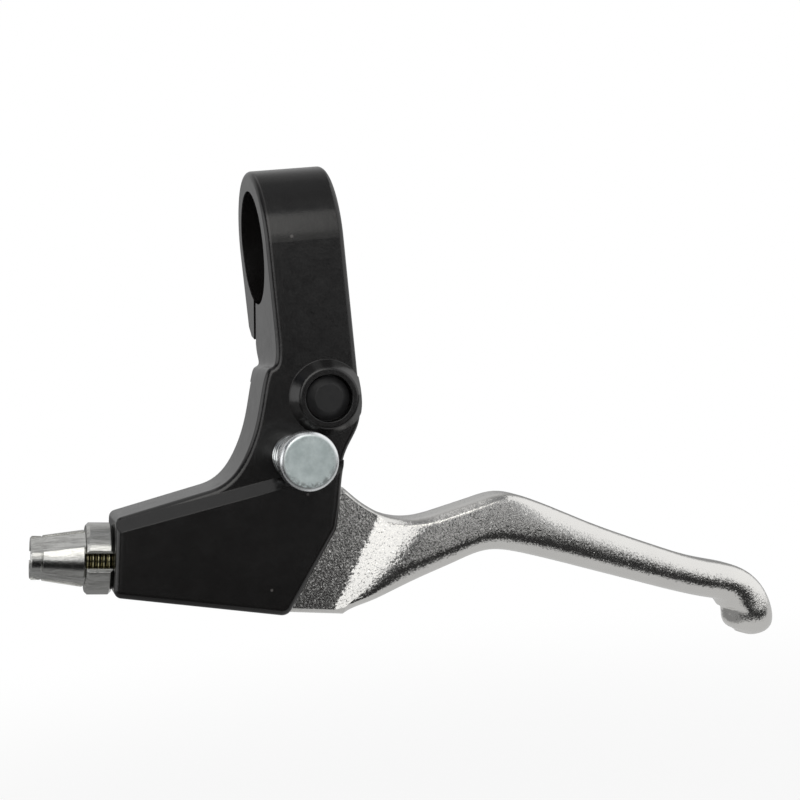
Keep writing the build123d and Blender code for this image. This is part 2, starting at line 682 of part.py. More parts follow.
# Cable adjuster, turned about the cable line
nut_gap = 0.05
head_start = NUT_H + 2 * nut_gap
head_end = head_start + ADJUSTER_LENGTH
collar_start = head_end - ADJUSTER_COLLAR
thread_r = ADJUSTER_THREAD_D / 2
end_r = ADJUSTER_END_D / 2
profile = polygon(
    [
        (0, -ADJUSTER_IN),
        (thread_r - 0.5, -ADJUSTER_IN),
        (thread_r, -ADJUSTER_IN + 0.5),
        (thread_r, head_start),
        (ADJUSTER_BIG_D / 2 - 0.4, head_start),
        (ADJUSTER_BIG_D / 2, head_start + 0.4),
        (end_r + 0.15, collar_start - 0.2),
        (end_r - 0.15, collar_start),
        (end_r, collar_start + 0.2),
        (end_r, head_end - 0.3),
        (end_r - 0.3, head_end),
        (0, head_end),
    ]
)
turned = revolve(Plane.XZ * profile, axis=Axis.Z)
turned -= Pos(0, 0, head_end) * Cylinder(HOUSING_SOCKET_D / 2, HOUSING_SOCKET_DEPTH, align=at_top)
turned -= Cylinder(CABLE_HOLE_D / 2, reach)
flute_lean = degrees(atan2((ADJUSTER_BIG_D - ADJUSTER_END_D) / 2, collar_start - head_start))
flute = Rot(0, -flute_lean, 0) * Box(
    ADJUSTER_BIG_D, FLUTE_WIDTH, reach, align=(Align.MIN, Align.CENTER, Align.CENTER)
)
flute = Pos(ADJUSTER_BIG_D / 2 - FLUTE_DEPTH, 0, head_start) * flute
flute = flute & Pos(0, 0, head_start) * Cylinder(ADJUSTER_BIG_D, reach, align=at_base)
for step in range(FLUTES):
    turned -= Rot(0, 0, FLUTE_TURN + 360 * step / FLUTES) * flute
cable_cut = Rot(0, 0, FLUTE_TURN + 360 / FLUTES) * Box(
    reach, ADJUSTER_SLOT, reach, align=(Align.MIN, Align.CENTER, Align.CENTER)
)
turned -= cable_cut
barrel_adjuster = end_plane * turned

# Lock nut
nut_body = Pos(0, 0, nut_gap) * Cylinder(NUT_D / 2, NUT_H, align=at_base)
nut_body = chamfer([e for e in nut_body.edges() if e.geom_type == GeomType.CIRCLE], NUT_EDGE)
nut_body -= Cylinder(thread_r + RUN_CLEAR, reach)
slot_side = NUT_SLOT / 2
slot_out = sqrt((NUT_D / 2) ** 2 - slot_side**2)
slot_section = polygon(
    [
        (0, -slot_side),
        (slot_out - NUT_SLOT_EDGE, -slot_side),
        (slot_out + NUT_SLOT_EDGE, -slot_side - 2 * NUT_SLOT_EDGE),
        (slot_out + NUT_SLOT_EDGE, slot_side + 2 * NUT_SLOT_EDGE),
        (slot_out - NUT_SLOT_EDGE, slot_side),
        (0, slot_side),
    ]
)
nut_body -= Rot(0, 0, NUT_SLOT_TURN) * extrude(slot_section, amount=reach, both=True)
lock_nut = end_plane * nut_body

nodes = {
    "bracket": bracket,
    "clamp_bolt": clamp_bolt,
    "lever": lever,
    "pivot_bolt": pivot_bolt,
    "pivot_nut": pivot_nut,
    "pivot_nut_ring": pivot_nut_ring,
    "bushing_front": bushing_front,
    "bushing_rear": bushing_rear,
    "lock_pin": lock_pin,
    "lock_button": lock_button,
    "lock_spring": lock_spring,
    "barrel_adjuster": barrel_adjuster,
    "lock_nut": lock_nut,
}
for name, shape in nodes.items():
    print(name, len(shape.solids()), round(shape.volume, 1), shape.is_valid)
    export_step(shape, f"parts/{name}.step")
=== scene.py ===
"""Looks of the bicycle brake lever: finishes, round-wire spring, studio and camera.

Everything is in metres, in the part's own frame.
"""
import functools
import json
import math

import bmesh
import bpy
from mathutils import Matrix, Vector


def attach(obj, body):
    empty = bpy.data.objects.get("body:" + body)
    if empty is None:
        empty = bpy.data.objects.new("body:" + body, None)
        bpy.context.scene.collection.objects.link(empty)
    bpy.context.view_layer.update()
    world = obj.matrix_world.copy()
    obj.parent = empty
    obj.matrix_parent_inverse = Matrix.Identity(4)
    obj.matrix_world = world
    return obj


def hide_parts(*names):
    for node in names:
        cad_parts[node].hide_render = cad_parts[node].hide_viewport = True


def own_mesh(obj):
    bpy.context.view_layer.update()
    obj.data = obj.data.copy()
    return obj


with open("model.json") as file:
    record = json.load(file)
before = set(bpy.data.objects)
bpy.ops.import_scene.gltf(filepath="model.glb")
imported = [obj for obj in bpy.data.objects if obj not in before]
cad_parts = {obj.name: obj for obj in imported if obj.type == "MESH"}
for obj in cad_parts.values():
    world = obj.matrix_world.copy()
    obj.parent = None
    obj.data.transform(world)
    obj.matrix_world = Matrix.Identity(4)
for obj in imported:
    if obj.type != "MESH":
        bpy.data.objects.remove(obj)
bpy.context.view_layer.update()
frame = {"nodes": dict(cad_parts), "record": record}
scene = bpy.context.scene
scene.view_settings.view_transform = "Standard"
MM = 0.001


# Node helpers

NOISE_SPAN = (0.3, 0.7)
RANGE_SOCKETS = ("From Min", "From Max", "To Min", "To Max")
MIX_SOCKETS = {"RGBA": (6, 7, 2), "VECTOR": (4, 5, 1)}


class Nodes:
    """An emptied node tree, with short calls that add a node and give its result."""

    def __init__(self, owner):
        owner.use_nodes = True
        self.tree = owner.node_tree
        self.tree.nodes.clear()

    def add(self, kind, **settings):
        node = self.tree.nodes.new(kind)
        for name, value in settings.items():
            setattr(node, name, value)
        return node

    def feed(self, socket, value):
        if isinstance(value, bpy.types.NodeSocket):
            self.tree.links.new(value, socket)
        else:
            socket.default_value = value

    def math(self, operation, a, b=0.0):
        node = self.add("ShaderNodeMath", operation=operation)
        self.feed(node.inputs[0], a)
        self.feed(node.inputs[1], b)
        return node.outputs[0]

    def join(self, operation, *values):
        """One operation through any number of values."""
        return functools.reduce(functools.partial(self.math, operation), values)

    def vector(self, operation, a, b=(0, 0, 0), result="Vector"):
        node = self.add("ShaderNodeVectorMath", operation=operation)
        self.feed(node.inputs[0], a)
        self.feed(node.inputs[1], b)
        return node.outputs[result]

    def dot(self, a, b):
        return self.vector("DOT_PRODUCT", a, b, "Value")

    def combine(self, x, y, z):
        node = self.add("ShaderNodeCombineXYZ")
        for socket, value in zip(node.inputs, (x, y, z)):
            self.feed(socket, value)
        return node.outputs[0]

    def stretch(self, value, low, high, to_low=0.0, to_high=1.0, smooth=False):
        """Value moved from one range to another and held at its ends."""
        node = self.add("ShaderNodeMapRange", clamp=True)
        if smooth:
            node.interpolation_type = "SMOOTHSTEP"
        self.feed(node.inputs["Value"], value)
        for name, number in zip(RANGE_SOCKETS, (low, high, to_low, to_high)):
            node.inputs[name].default_value = number
        return node.outputs["Result"]

    def mix(self, share, a, b, kind="RGBA"):
        node = self.add("ShaderNodeMix", data_type=kind)
        first, second, result = MIX_SOCKETS[kind]
        self.feed(node.inputs[0], share)
        self.feed(node.inputs[first], a)
        self.feed(node.inputs[second], b)
        return node.outputs[result]

    def brightest(self, axes, cards):
        """Level of the brightest card, where a card is a product of smooth ramps along some of the axes."""
        levels = []
        for steps in cards.values():
            ramps = [self.stretch(axes[axis], *ends, smooth=True) for axis, *ends in steps]
            levels.append(self.join("MULTIPLY", *ramps))
        return self.join("MAXIMUM", *levels)


class Shader(Nodes):
    """A material with one principled shader. Scales of patterns count per metre."""

    def __init__(self, name):
        self.material = bpy.data.materials.new(name)
        super().__init__(self.material)
        self.bsdf = self.add("ShaderNodeBsdfPrincipled")
        output = self.add("ShaderNodeOutputMaterial")
        self.feed(output.inputs["Surface"], self.bsdf.outputs[0])
        self.place = self.add("ShaderNodeTexCoord").outputs["Object"]

    def set(self, name, value):
        self.feed(self.bsdf.inputs[name], value)

    def noise(self, scale, detail=2.0, roughness=0.5, place=None):
        node = self.add("ShaderNodeTexNoise")
        self.feed(node.inputs["Vector"], place or self.place)
        node.inputs["Scale"].default_value = scale
        node.inputs["Detail"].default_value = detail
        node.inputs["Roughness"].default_value = roughness
        return node.outputs["Fac"]

    def spread(self, noise, low, high):
        """A noise's usual span brought to a range."""
        return self.stretch(noise, *NOISE_SPAN, low, high)

    def cells(self, scale, output="Distance"):
        node = self.add("ShaderNodeTexVoronoi")
        self.feed(node.inputs["Vector"], self.place)
        node.inputs["Scale"].default_value = scale
        return node.outputs[output]

    def away(self, point):
        """Distance from a point of the part's frame."""
        return self.vector("DISTANCE", self.place, point, "Value")

    def from_axis(self, x, z):
        """Distance from a line parallel to Y through a point of the part's frame."""
        flat = self.vector("MULTIPLY", self.place, (1, 0, 1))
        return self.vector("DISTANCE", flat, (x, 0, z), "Value")

    def true_normal(self):
        return self.add("ShaderNodeNewGeometry").outputs["Normal"]

    def soft_edges(self, radius, samples=6):
        node = self.add("ShaderNodeBevel", samples=samples)
        node.inputs["Radius"].default_value = radius
        return node.outputs["Normal"]

    def edge_mask(self, radius, low=0.03, high=0.25):
        """1 where the surface turns within a radius, 0 on flats."""
        flat = self.dot(self.true_normal(), self.soft_edges(radius, samples=8))
        return self.stretch(self.math("SUBTRACT", 1.0, flat), low, high)

    def between(self, share, a, b):
        """Unit vector between two directions."""
        return self.vector("NORMALIZE", self.mix(share, a, b, "VECTOR"))

    def direction(self, x, y, z):
        """World direction of a vector given in the piece's own frame."""
        node = self.add("ShaderNodeVectorTransform", vector_type="VECTOR")
        node.convert_from = "OBJECT"
        node.convert_to = "WORLD"
        self.feed(node.inputs[0], self.combine(x, y, z))
        return node.outputs[0]

    def facets(self, scale, tilt, normal):
        """A normal turned at random from cell to cell, most of them little and a few much."""
        centred = self.vector("SUBTRACT", self.cells(scale, "Color"), (0.5, 0.5, 0.5))
        length = self.vector("LENGTH", centred, result="Value")
        turn = self.vector("MULTIPLY", centred, self.join("MULTIPLY", length, length, tilt))
        return self.vector("NORMALIZE", self.vector("ADD", turn, normal))

    def bump(self, height, distance, strength=1.0, normal=None):
        node = self.add("ShaderNodeBump")
        self.feed(node.inputs["Height"], height)
        node.inputs["Distance"].default_value = distance
        node.inputs["Strength"].default_value = strength
        if normal is not None:
            self.feed(node.inputs["Normal"], normal)
        return node.outputs["Normal"]


# Places that finishes and shapes share

# Lock pin's axis (x, z), the spring's end at the button (y) and the button's radius
LOCK_AXIS = (-6.7 * MM, -40.2 * MM)
SPRING_FREE = -27.1 * MM
BUTTON_R = 5.45 * MM

# Cable line through the adjuster: tilt, depth, place across the line, and where the adjuster's head starts
CABLE_TILT = math.radians(8.0)
CABLE_Y = -7.4 * MM
CABLE_OVER = -61.17 * MM
CABLE_HEAD = 38.7 * MM
SHANK_R = 3.6 * MM
THREAD_PITCH = 1.0 * MM
TOOL_PITCH = 0.16 * MM

# Slope from the blade's side down to its root: lower end, angle, run across it, lean, length and taper
SLOPE_FOOT = Vector((4.0 * MM, 0.0, -72.4 * MM))
SLOPE_ANGLE = math.radians(58.0)
SLOPE_RUN = 5.2 * MM
SLOPE_LEAN = 0.26
SLOPE_LENGTH = 18.0 * MM
SLOPE_TAPER = 0.25

# How far the slope fades out, how ragged its edges are, and how soft its edge at the root is
SLOPE_FADE = 6.0 * MM
SLOPE_RAG = 3.0 * MM
SLOPE_EDGE = 0.4 * MM

# Blade's sides are level up to the hump, which rises between these places along X
HUMP_START = 36.0 * MM
HUMP_END = 44.0 * MM
LEVEL_SHARE = 0.85

# A face is one of the blade's sides by how squarely it looks along Y, and stays crowned where it dips
SIDE_FACING = (0.80, 0.93)
SIDE_DIP = (-0.16, -0.06)
DIPPED_SHARE = 0.1

# Nicks in the paint: place and radius
PAINT_NICKS = (
    ((-2.59 * MM, -14.87 * MM, 0.98 * MM), 0.40 * MM),
    ((-5.01 * MM, -16.9 * MM, -47.54 * MM), 0.28 * MM),
    ((-13.73 * MM, -16.9 * MM, -64.62 * MM), 0.32 * MM),
)


# Materials


def black_paint():
    """Satin black paint on a casting: orange peel, faint wear on edges, a few specks."""
    s = Shader("black_paint")
    dark = (0.0060, 0.0056, 0.0055, 1)
    light = (0.0090, 0.0084, 0.0082, 1)
    rubbed = (0.09, 0.088, 0.085, 1)
    chipped = (0.16, 0.15, 0.145, 1)
    rubbed_share = 0.35
    chipped_share = 0.5

    cloud = s.noise(90.0, detail=3.0)
    grain = s.noise(2600.0, detail=3.0, roughness=0.6)
    peel = s.noise(900.0)
    scuffs = s.noise(330.0, detail=5.0, roughness=0.7)
    specks = s.stretch(s.cells(420.0), 0.03, 0.012)
    chips = s.math("MULTIPLY", specks, s.stretch(s.noise(160.0, detail=1.0), 0.66, 0.72))
    for point, radius in PAINT_NICKS:
        chips = s.math("MAXIMUM", chips, s.stretch(s.away(point), radius, 0.6 * radius))
    patches = s.stretch(s.noise(700.0, detail=4.0, roughness=0.7), 0.58, 0.75)
    worn = s.math("MULTIPLY", s.edge_mask(0.5 * MM, 0.02, 0.2), patches)

    paint = s.mix(cloud, dark, light)
    paint = s.mix(s.math("MULTIPLY", worn, rubbed_share), paint, rubbed)
    s.set("Base Color", s.mix(s.math("MULTIPLY", chips, chipped_share), paint, chipped))
    uneven = s.math("MULTIPLY", s.math("ADD", grain, scuffs), 0.5)
    s.set("Roughness", s.stretch(uneven, 0.36, 0.64, 0.15, 0.25))
    s.set("Specular IOR Level", 0.6)
    fine = s.bump(grain, 0.012 * MM, strength=0.7, normal=s.soft_edges(0.25 * MM))
    s.set("Normal", s.bump(peel, 0.02 * MM, strength=0.6, normal=fine))
    return s.material


def blade_normal(s):
    """Normal of the blade's sides: level up to the hump, and melted into the slope at the root."""
    true = s.true_normal()
    facing = s.dot(true, (0, 1, 0))
    side = s.math("SIGN", facing)
    face_on = s.stretch(s.math("ABSOLUTE", facing), *SIDE_FACING)
    before_hump = s.stretch(s.dot(s.place, (1, 0, 0)), HUMP_END, HUMP_START, 0.0, LEVEL_SHARE)
    undipped = s.stretch(s.dot(true, (0, 0, 1)), *SIDE_DIP, DIPPED_SHARE, 1.0)
    level = s.join("MULTIPLY", face_on, before_hump, undipped)
    normal = s.between(level, true, s.direction(0.0, side, 0.0))

    inward = Vector((-math.sin(SLOPE_ANGLE), 0.0, math.cos(SLOPE_ANGLE)))
    upward = Vector((math.cos(SLOPE_ANGLE), 0.0, math.sin(SLOPE_ANGLE)))
    rough_edge = s.math("SUBTRACT", s.noise(1500.0, detail=3.0, roughness=0.7), 0.5)
    across = s.math("SUBTRACT", s.dot(s.place, inward), inward.dot(SLOPE_FOOT))
    across = s.math("ADD", across, s.math("MULTIPLY", rough_edge, SLOPE_RAG))
    from_top = s.math("SUBTRACT", s.dot(s.place, upward), SLOPE_LENGTH + upward.dot(SLOPE_FOOT))
    narrowed = s.math("ADD", across, s.math("MULTIPLY", from_top, SLOPE_TAPER))
    fade = s.stretch(narrowed, -SLOPE_FADE, 0.0, smooth=True)
    root_edge = s.stretch(across, SLOPE_RUN + SLOPE_EDGE, SLOPE_RUN - SLOPE_EDGE)
    slope = s.join("MULTIPLY", fade, root_edge, face_on)
    return s.between(slope, normal, s.direction(SLOPE_LEAN * inward.x, side, SLOPE_LEAN * inward.z))


def tumbled_aluminium():
    """Cast aluminium, barrel-polished: mirror-bright under a fine hammered texture that sparkles."""
    s = Shader("tumbled_aluminium")
    dark = (0.71, 0.70, 0.68, 1)
    light = (0.79, 0.78, 0.755, 1)
    polished = (0.82, 0.815, 0.80, 1)
    polished_share = 0.5
    facet_tilt = 0.30

    dents = s.noise(2300.0, roughness=0.6)
    grain = s.noise(5200.0)
    cloud = s.noise(140.0, detail=3.0)
    edge = s.math("MULTIPLY", s.edge_mask(0.6 * MM, 0.02, 0.25), polished_share)

    s.set("Base Color", s.mix(edge, s.mix(cloud, dark, light), polished))
    s.set("Metallic", 1.0)
    s.set("Roughness", s.spread(grain, 0.13, 0.20))
    dented = s.bump(dents, 0.032 * MM, normal=blade_normal(s))
    s.set("Normal", s.facets(4400.0, facet_tilt, dented))
    return s.material


def zinc():
    """Bluish zinc plate: a bright rim on the button, a mottled dark ring inside the rim that is darker
    towards the bottom, and painted shade inside the spring.
    """
    s = Shader("zinc_plate")
    dark = (0.53, 0.61, 0.61, 1)
    light = (0.70, 0.78, 0.78, 1)
    dark_mottle = (0.12, 0.13, 0.125, 1)
    bright = (0.84, 0.86, 0.87, 1)
    shaded = (0.10, 0.10, 0.10, 1)
    dark_mottle_share = 0.75
    shaded_share = 0.8
    rim_outer = BUTTON_R - 0.3 * MM
    rim_inner = BUTTON_R - 1.0 * MM
    mottle_inner = BUTTON_R - 1.9 * MM
    mottle_top = LOCK_AXIS[1] - 1.0 * MM
    mottle_full = LOCK_AXIS[1] - 3.5 * MM
    shade_edge = 0.3 * MM

    cloud = s.stretch(s.noise(420.0, detail=4.0, roughness=0.6), 0.35, 0.65)
    fine = s.noise(3000.0)
    off_axis = s.from_axis(*LOCK_AXIS)
    rim = s.stretch(off_axis, rim_inner, rim_outer, smooth=True)
    ring = s.stretch(off_axis, mottle_inner, rim_inner, smooth=True)
    low = s.stretch(s.dot(s.place, (0, 0, 1)), mottle_top, mottle_full, 0.25, 1.0)
    mottle = s.stretch(s.noise(1500.0, detail=3.0, roughness=0.7), 0.40, 0.60)
    depth = s.dot(s.place, (0, 1, 0))
    inside = s.stretch(depth, SPRING_FREE - shade_edge, SPRING_FREE + shade_edge)

    colour = s.mix(cloud, dark, light)
    # A mottled dark ring just inside the button's rim, darker towards the bottom of the button
    colour = s.mix(s.join("MULTIPLY", ring, low, mottle, dark_mottle_share), colour, dark_mottle)
    colour = s.mix(rim, colour, bright)
    s.set("Base Color", s.mix(s.math("MULTIPLY", inside, shaded_share), colour, shaded))
    s.set("Metallic", s.stretch(rim, 0.0, 1.0, 0.68, 1.0))
    matt = s.spread(fine, 0.40, 0.52)
    s.set("Roughness", s.math("MULTIPLY", matt, s.stretch(rim, 0.0, 1.0, 1.0, 0.6)))
    s.set("Normal", s.bump(fine, 0.010 * MM, strength=0.7, normal=s.soft_edges(0.12 * MM)))
    return s.material


def spring_wire():
    """Bright drawn wire with faint streaks."""
    s = Shader("spring_wire")
    dark = (0.60, 0.62, 0.62, 1)
    light = (0.80, 0.82, 0.82, 1)
    streak = s.noise(1800.0, detail=3.0, roughness=0.6)
    s.set("Base Color", s.mix(streak, dark, light))
    s.set("Metallic", 1.0)
    s.set("Roughness", s.spread(streak, 0.15, 0.25))
    s.set("Normal", s.bump(streak, 0.006 * MM, strength=0.4))
    return s.material


def turned_aluminium():
    """Bright turned aluminium: fine tool rings, lengthwise streaks, and an oily thread on the shank."""
    s = Shader("turned_aluminium")
    dark = (0.56, 0.56, 0.54, 1)
    light = (0.70, 0.70, 0.68, 1)
    polished = (0.80, 0.80, 0.78, 1)
    stained = (0.20, 0.20, 0.19, 1)
    oily_dark = (0.22, 0.19, 0.09, 1)
    oily_light = (0.62, 0.58, 0.36, 1)
    polished_share = 0.5
    streak_squeeze = 0.14
    shank_edge = 0.2 * MM

    along = s.dot(s.place, (-math.cos(CABLE_TILT), 0.0, math.sin(CABLE_TILT)))
    over = s.dot(s.place, (math.sin(CABLE_TILT), 0.0, math.cos(CABLE_TILT)))
    over = s.math("SUBTRACT", over, CABLE_OVER)
    beside = s.math("SUBTRACT", s.dot(s.place, (0, 1, 0)), CABLE_Y)
    radius = s.vector("LENGTH", s.combine(0.0, over, beside), result="Value")
    within = s.stretch(radius, SHANK_R + shank_edge, SHANK_R)
    shank = s.math("MULTIPLY", within, s.stretch(along, CABLE_HEAD, CABLE_HEAD - shank_edge))
    rings = s.math("SINE", s.math("MULTIPLY", along, 2 * math.pi / TOOL_PITCH))
    thread = s.math("SINE", s.math("MULTIPLY", along, 2 * math.pi / THREAD_PITCH))
    fine = s.noise(2400.0, detail=3.0, roughness=0.6)
    cloud = s.noise(300.0, detail=3.0)
    lengthwise = s.combine(s.math("MULTIPLY", along, streak_squeeze), over, beside)
    stains = s.noise(1100.0, detail=4.0, roughness=0.7, place=lengthwise)

    colour = s.mix(cloud, dark, light)
    colour = s.mix(s.math("MULTIPLY", s.edge_mask(0.3 * MM), polished_share), colour, polished)
    colour = s.mix(s.stretch(stains, 0.45, 0.68, 0.0, 0.6), colour, stained)
    oily = s.mix(s.stretch(thread, -1.0, 1.0), oily_dark, oily_light)
    s.set("Base Color", s.mix(shank, colour, oily))
    s.set("Metallic", 1.0)
    s.set("Roughness", s.spread(fine, 0.16, 0.26))
    threaded = s.bump(s.math("MULTIPLY", thread, shank), 0.16 * MM, normal=s.soft_edges(0.15 * MM))
    ringed = s.bump(rings, 0.004 * MM, strength=0.5, normal=threaded)
    grained = s.bump(fine, 0.012 * MM, strength=0.7, normal=ringed)
    s.set("Normal", s.bump(stains, 0.03 * MM, strength=0.6, normal=grained))
    return s.material


def black_steel():
    """Black-oxide steel of the bolts, rubbed a little grey on edges."""
    s = Shader("black_steel")
    dark = (0.014, 0.014, 0.0145, 1)
    light = (0.032, 0.032, 0.033, 1)
    rubbed = (0.10, 0.10, 0.10, 1)
    cloud = s.noise(500.0, detail=4.0, roughness=0.6)
    fine = s.noise(2600.0, detail=3.0)
    worn = s.math("MULTIPLY", s.edge_mask(0.3 * MM), s.stretch(cloud, 0.4, 0.7))
    s.set("Base Color", s.mix(worn, s.mix(cloud, dark, light), rubbed))
    s.set("Metallic", 0.4)
    s.set("Roughness", s.spread(fine, 0.36, 0.5))
    s.set("Normal", s.bump(fine, 0.01 * MM, strength=0.5, normal=s.soft_edges(0.2 * MM)))
    return s.material


def plastic(name, dark, light, rough):
    """Plain moulded plastic between two tones, with a fine grain."""
    s = Shader(name)
    fine = s.noise(2000.0, detail=3.0)
    s.set("Base Color", s.mix(s.noise(400.0), dark, light))
    s.set("Roughness", s.spread(fine, rough - 0.06, rough + 0.06))
    s.set("Normal", s.bump(fine, 0.01 * MM, strength=0.4, normal=s.soft_edges(0.15 * MM)))
    return s.material


looks = {
    "black_paint": black_paint(),
    "black_steel": black_steel(),
    "bare_aluminium": tumbled_aluminium(),
    "zinc_steel": zinc(),
    "spring_steel": spring_wire(),
    "turned_aluminium": turned_aluminium(),
    "nylon": plastic("nylon", (0.62, 0.61, 0.57, 1), (0.72, 0.71, 0.67, 1), 0.45),
    "bush_plastic": plastic("bush_plastic", (0.03, 0.03, 0.032, 1), (0.05, 0.05, 0.053, 1), 0.5),
}
for subpart in frame["record"]["subparts"]:
    node = frame["nodes"][subpart["node"]]
    if not node.material_slots:
        node.data.materials.append(None)
    for place in node.material_slots:
        place.material = looks[subpart["material_slot"]]


# Lock spring: round wire with closed end coils

SPRING_FIXED = -14.9 * MM
SPRING_R = 3.6 * MM
WIRE_R = 0.65 * MM
ACTIVE_TURNS = 5.0
END_TURNS = 0.8
END_RISE = 1.05 * WIRE_R * END_TURNS
AROUND = 14
PER_TURN = 40


def coil_run(turn, turns, length):
    """How far along its axis the wire has come at a turn, from the fixed end."""
    if turn < END_TURNS:
        return END_RISE * (turn / END_TURNS) ** 2
    if turn > turns - END_TURNS:
        return length - END_RISE * ((turns - turn) / END_TURNS) ** 2
    return END_RISE + (length - 2 * END_RISE) * (turn - END_TURNS) / ACTIVE_TURNS


def coil_rings():
    """Rings of points round the wire, from the fixed end to the button."""
    start = SPRING_FIXED - WIRE_R
    length = abs(SPRING_FREE + WIRE_R - start)
    turns = ACTIVE_TURNS + 2 * END_TURNS
    steps = int(turns * PER_TURN)
    along = Vector((0, 1, 0))
    rings = []
    for step in range(steps + 1):
        turn = turns * step / steps
        angle = 2 * math.pi * turn
        out = Vector((math.cos(angle), 0, math.sin(angle)))
        run = coil_run(turn, turns, length)
        middle = Vector((LOCK_AXIS[0], start - run, LOCK_AXIS[1])) + SPRING_R * out
        ring = []
        for i in range(AROUND):
            around = 2 * math.pi * i / AROUND
            ring.append(middle + WIRE_R * (math.cos(around) * out + math.sin(around) * along))
        rings.append(ring)
    return rings


def tube(name, rings):
    """Smooth closed tube through rings of points of equal count."""
    mesh = bmesh.new()
    made = [[mesh.verts.new(point) for point in ring] for ring in rings]
    count = len(made[0])
    for first, second in zip(made, made[1:]):
        for i in range(count):
            j = (i + 1) % count
            mesh.faces.new((first[i], first[j], second[j], second[i]))
    mesh.faces.new(list(reversed(made[0])))
    mesh.faces.new(made[-1])
    bmesh.ops.recalc_face_normals(mesh, faces=mesh.faces)
    data = bpy.data.meshes.new(name)
    mesh.to_mesh(data)
    mesh.free()
    for face in data.polygons:
        face.use_smooth = True
    obj = bpy.data.objects.new(name, data)
    scene.collection.objects.link(obj)
    return obj


coil = tube("lock_coil", coil_rings())
coil.data.materials.append(looks["spring_steel"])
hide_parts("lock_spring")
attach(coil, "bracket_body")
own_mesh(coil)


# Studio: cards of light around the part with dark gaps between them, white where the camera looks

WHITE = (1, 1, 1, 1)
DARK_TINT = (0.80, 0.92, 1.12, 1)
DARK_LEVEL = 0.04
TINTED_LEVELS = (0.05, 0.30)

# Each card's ramps: axis of the direction, where the ramp starts and ends, and the level at each end
RIGHT, BACK, TOP = range(3)
SKY_CARDS = {
    "backdrop": (
        (BACK, 0.05, 0.40, 0.0, 1.0),
        (TOP, -0.1, 0.5, 0.38, 0.58),
        (TOP, 0.5, 0.9, 1.0, 0.34 / 0.58),
        (RIGHT, 0.28, 0.45, 1.0, 0.6),
    ),
    "overhead": ((TOP, 0.55, 0.85, 0.0, 0.25),),
    "overhead_middle": (
        (TOP, 0.55, 0.78, 0.0, 1.0),
        (RIGHT, -0.24, -0.12, 0.1, 1.0),
        (RIGHT, 0.15, 0.08, 0.0, 0.75),
    ),
    "left_wall": ((RIGHT, -0.75, -0.92, 0.0, 1.3), (TOP, 0.45, 0.70, 1.0, 0.0)),
    "right_tent": ((RIGHT, 0.42, 0.46, 0.0, 1.04), (BACK, 0.40, 0.75, 1.0, 0.3)),
    "front_glow": (
        (RIGHT, 0.255, 0.285, 0.0, 0.80),
        (RIGHT, 0.32, 0.38, 1.0, 0.20),
        (BACK, -0.2, -0.45, 0.0, 1.0),
    ),
    "low_card": (
        (RIGHT, -0.55, -0.45, 0.0, 1.0),
        (RIGHT, 0.13, 0.07, 0.0, 1.3),
        (TOP, -0.06, 0.02, 0.0, 1.0),
        (TOP, 0.12, 0.20, 1.0, 0.4),
        (BACK, -0.3, -0.5, 0.0, 1.0),
    ),
    "below": ((TOP, -0.25, -0.6, 0.0, 0.7),),
}

world = bpy.data.worlds.new("studio")
scene.world = world
sky = Nodes(world)
way = sky.add("ShaderNodeSeparateXYZ")
sky.feed(way.inputs[0], sky.add("ShaderNodeTexCoord").outputs["Generated"])
level = sky.math("MAXIMUM", sky.brightest(way.outputs, SKY_CARDS), DARK_LEVEL)
shown = sky.math("MAXIMUM", level, sky.add("ShaderNodeLightPath").outputs["Is Camera Ray"])
background = sky.add("ShaderNodeBackground")
sky.feed(background.inputs["Strength"], shown)
tint = sky.mix(sky.stretch(shown, *TINTED_LEVELS, smooth=True), DARK_TINT, WHITE)
sky.feed(background.inputs["Color"], tint)
sky.feed(sky.add("ShaderNodeOutputWorld").inputs["Surface"], background.outputs[0])


# Key light in front, and a narrow strip below it that softens its lower edge

KEY_TARGET = Vector((0.0, -0.01, -0.04))
KEY_DISTANCE = 0.8
KEY_SHIFT = Vector((-0.115, 0.0, 0.0))
KEY_WIDTH = 0.63
KEY_COLOUR = (1.0, 0.985, 0.95)
# Name, elevation in degrees, height and watts
KEYS = (
    ("key_softbox", 31.8, 0.462, 1.37),
    ("key_skirt", 11.6, 0.104, 0.12),
)

for name, elevation, height, watts in KEYS:
    lamp = bpy.data.lights.new(name, "AREA")
    lamp.shape = "RECTANGLE"
    lamp.size = KEY_WIDTH
    lamp.size_y = height
    lamp.energy = watts
    lamp.color = KEY_COLOUR
    rise = math.radians(elevation)
    toward = Vector((0.0, -math.cos(rise), math.sin(rise)))
    key = bpy.data.objects.new(name, lamp)
    key.location = KEY_TARGET + KEY_DISTANCE * toward + KEY_SHIFT
    key.rotation_euler = toward.to_track_quat("Z", "Y").to_euler()
    scene.collection.objects.link(key)


# Floor: pale with the part's shadow, white to the camera further out, and in reflections lit in cards

FLOOR_Z = -0.16
FLOOR_HALF = 3.0
FLOOR_COLOUR = (0.85, 0.85, 0.85, 1)

# Share of pure white that the camera sees near the part, and the distances where that grows to all
WHITE_SHARE = 0.86
WHITE_NEAR = 0.22
WHITE_FAR = 0.45

# Slant of one card, and the least distance ahead of the part that counts for an angle
CARD_SLANT = 0.445
LEAST_AHEAD = 0.05

# Ramps as above, along X, Y, a line slanting across them, and the angle seen from the part
ACROSS, AWAY, SLANTED, SIDEWAYS = range(4)
FLOOR_CARDS = {
    "open_floor": (
        (AWAY, -0.145, -0.11, 0.025, 0.60),
        (AWAY, 0.2, 1.2, 1.0, 0.6),
        (ACROSS, -0.04, 0.02, 0.45, 1.0),
    ),
    "slanted_card": ((SLANTED, 0.05, 0.13, 0.0, 0.9), (AWAY, -0.45, -0.75, 0.0, 1.0)),
    "front_card": (
        (SIDEWAYS, 0.262, 0.305, 0.06, 0.80),
        (SIDEWAYS, 0.34, 0.41, 1.0, 0.20),
        (AWAY, -0.35, -0.60, 0.0, 1.0),
    ),
}


